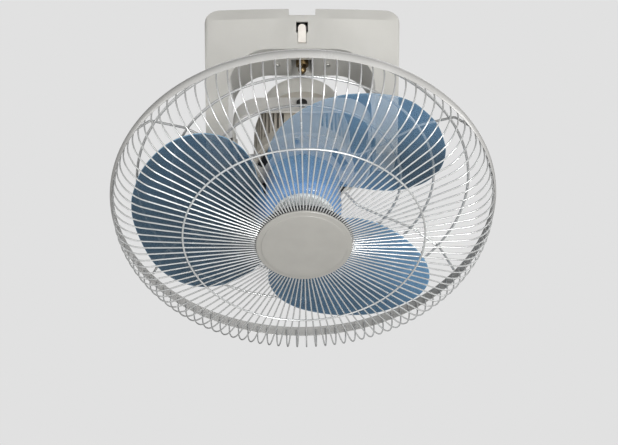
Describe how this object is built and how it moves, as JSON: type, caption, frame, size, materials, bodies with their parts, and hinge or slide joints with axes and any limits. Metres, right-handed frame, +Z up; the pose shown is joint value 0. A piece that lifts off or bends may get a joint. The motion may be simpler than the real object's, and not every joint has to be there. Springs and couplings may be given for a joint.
{
  "type": "orbital ceiling fan",
  "caption": "Orbital ceiling fan: bridge-shaped ceiling base, two-axis gimbal and a caged fan head whose axis is carried round a cone by a geared crank.",
  "frame": {"origin": "centre of the face that meets the ceiling", "axes": "+Z up into the ceiling; the front, towards which the head leans at rest, is -Y; +X is to the right seen from the front"},
  "size_m": [0.4499, 0.3914, 0.4052],
  "materials": {
    "cover": "warm white satin moulding",
    "plate": "zinc plated sheet",
    "screw": "zinc plated",
    "tab": "white moulding",
    "tab_pin": "plain steel",
    "terminals": "white insulating moulding",
    "capacitor": "pale plastic case",
    "post": "turned steel",
    "brass": "turned brass",
    "black": "black nylon",
    "rubber": "black rubber",
    "strap": "warm white enamel",
    "motor": "beige white enamel",
    "bronze": "sintered bronze",
    "core": "stacked laminations",
    "copper": "enamelled copper wire",
    "wire": "cream enamel on steel wire",
    "cap": "warm grey satin moulding",
    "blade": "translucent blue moulding",
    "hub_cap": "pale grey moulding",
    "shaft": "ground steel",
    "gear": "natural nylon",
    "stud": "turned steel",
    "clamp": "black enamel"
  },
  "bodies": {
    "base": {"base_cover": "cover", "ceiling_plate": "plate", "hanger_frame": "clamp", "frame_bolts": "screw", "plate_screws": "screw", "cover_screws": "screw", "tab_pin": "tab_pin", "terminal_block": "terminals", "run_capacitor": "capacitor", "orbit_post": "post", "orbit_socket": "brass", "trunnion_bushes": "black", "lead_grommet": "rubber"},
    "tab": {"release_tab": "tab"},
    "gimbal": {"gimbal_ring": "strap", "trunnion_pins": "stud", "pivot_bolts": "clamp", "pivot_washers": "screw"},
    "head": {"motor_rear_shell": "motor", "motor_front_shell": "motor", "through_bolts": "screw", "pivot_bushes": "bronze", "stator_core": "core", "stator_coils": "copper", "motor_bearings": "stud", "gear_cover": "motor", "gear_plates": "plate", "gear_pins": "stud", "output_bush": "bronze", "guard_band": "wire", "front_wires": "wire", "front_ring": "wire", "centre_plate": "clamp", "centre_cap": "cap", "cap_screw": "screw", "rear_ring_inner": "wire", "rear_ring_middle": "wire", "rear_ring_outer": "wire", "rear_stays": "wire", "stay_clamps": "clamp", "clamp_screws": "clamp"},
    "rotor": {"motor_shaft": "shaft", "rotor_core": "core", "shaft_pinion": "brass", "blade_set": "blade", "hub_cap": "hub_cap", "hub_nut": "black"},
    "first_layshaft": {"first_gear": "gear"},
    "second_layshaft": {"second_gear": "gear"},
    "crank": {"output_gear": "gear", "crank_shaft": "stud", "crank_disc": "motor", "crank_stud": "stud", "drive_ball": "brass"}
  },
  "joints": [
    {"name": "fore_tilt", "type": "hinge", "parent": "base", "child": "gimbal", "pos_m": [0, 0, -0.165], "axis": [1, 0, 0], "range_deg": [0, 64]},
    {"name": "side_lean", "type": "hinge", "parent": "gimbal", "child": "head", "pos_m": [0, 0, -0.165], "axis": [0, -0.8482, 0.5297], "range_deg": [-33, 30.9]},
    {"name": "rotor_spin", "type": "hinge", "parent": "head", "child": "rotor", "pos_m": [0, 0, -0.165], "axis": [0.0185, -0.5296, -0.848], "continuous": true},
    {"name": "first_spin", "type": "hinge", "parent": "head", "child": "first_layshaft", "pos_m": [0, -0.01633, -0.1548], "axis": [0.0185, -0.5296, -0.848], "continuous": true},
    {"name": "second_spin", "type": "hinge", "parent": "head", "child": "second_layshaft", "pos_m": [0.01667, -0.008, -0.15964], "axis": [0.0185, -0.5296, -0.848], "continuous": true},
    {"name": "crank_spin", "type": "hinge", "parent": "head", "child": "crank", "pos_m": [0, 0, -0.165], "axis": [0.0185, -0.5296, -0.848], "continuous": true},
    {"name": "tab_press", "type": "hinge", "parent": "base", "child": "tab", "pos_m": [0, -0.0442, -0.0445], "axis": [-1, 0, 0], "range_deg": [0, 12], "stiffness_Nm_per_rad": 0.02}
  ],
  "couplings": [
    {"joint": "first_spin", "follows": "rotor_spin", "ratio": -0.16667},
    {"joint": "second_spin", "follows": "rotor_spin", "ratio": 0.027778},
    {"joint": "crank_spin", "follows": "rotor_spin", "ratio": -0.0046296}
  ]
}
